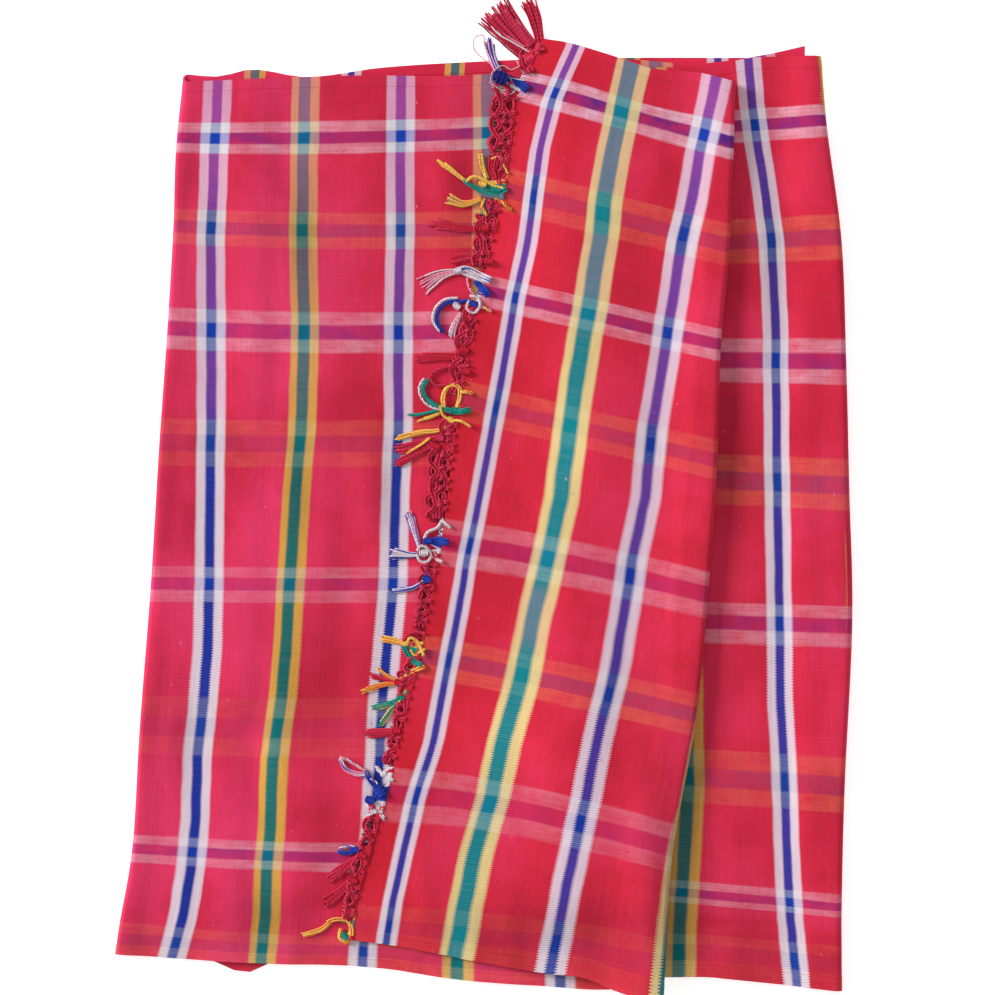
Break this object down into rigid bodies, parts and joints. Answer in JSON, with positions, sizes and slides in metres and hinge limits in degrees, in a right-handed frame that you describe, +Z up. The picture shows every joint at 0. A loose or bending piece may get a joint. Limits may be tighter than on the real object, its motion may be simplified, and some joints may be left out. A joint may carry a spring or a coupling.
{
  "type": "folded plaid blanket",
  "caption": "Woven plaid blanket folded into flat layers, one end laid over the front with a knotted, netted fringe of short tassels.",
  "frame": {"origin": "centre of the folded blanket's outline on the surface it lies on", "axes": "+X to the right, +Y along the long side towards the top hem, +Z up from the surface"},
  "size_m": [0.7376, 1.0077, 0.0227],
  "materials": {
    "red_plaid": "plain-woven cotton, crimson with blue and white and green and yellow plaid stripes, matt",
    "red_yarn": "twisted yarn, mostly red with white, blue, green and yellow groups, matt"
  },
  "bodies": {
    "root": {"cloth": "red_plaid", "fringe": "red_yarn"}
  },
  "joints": []
}
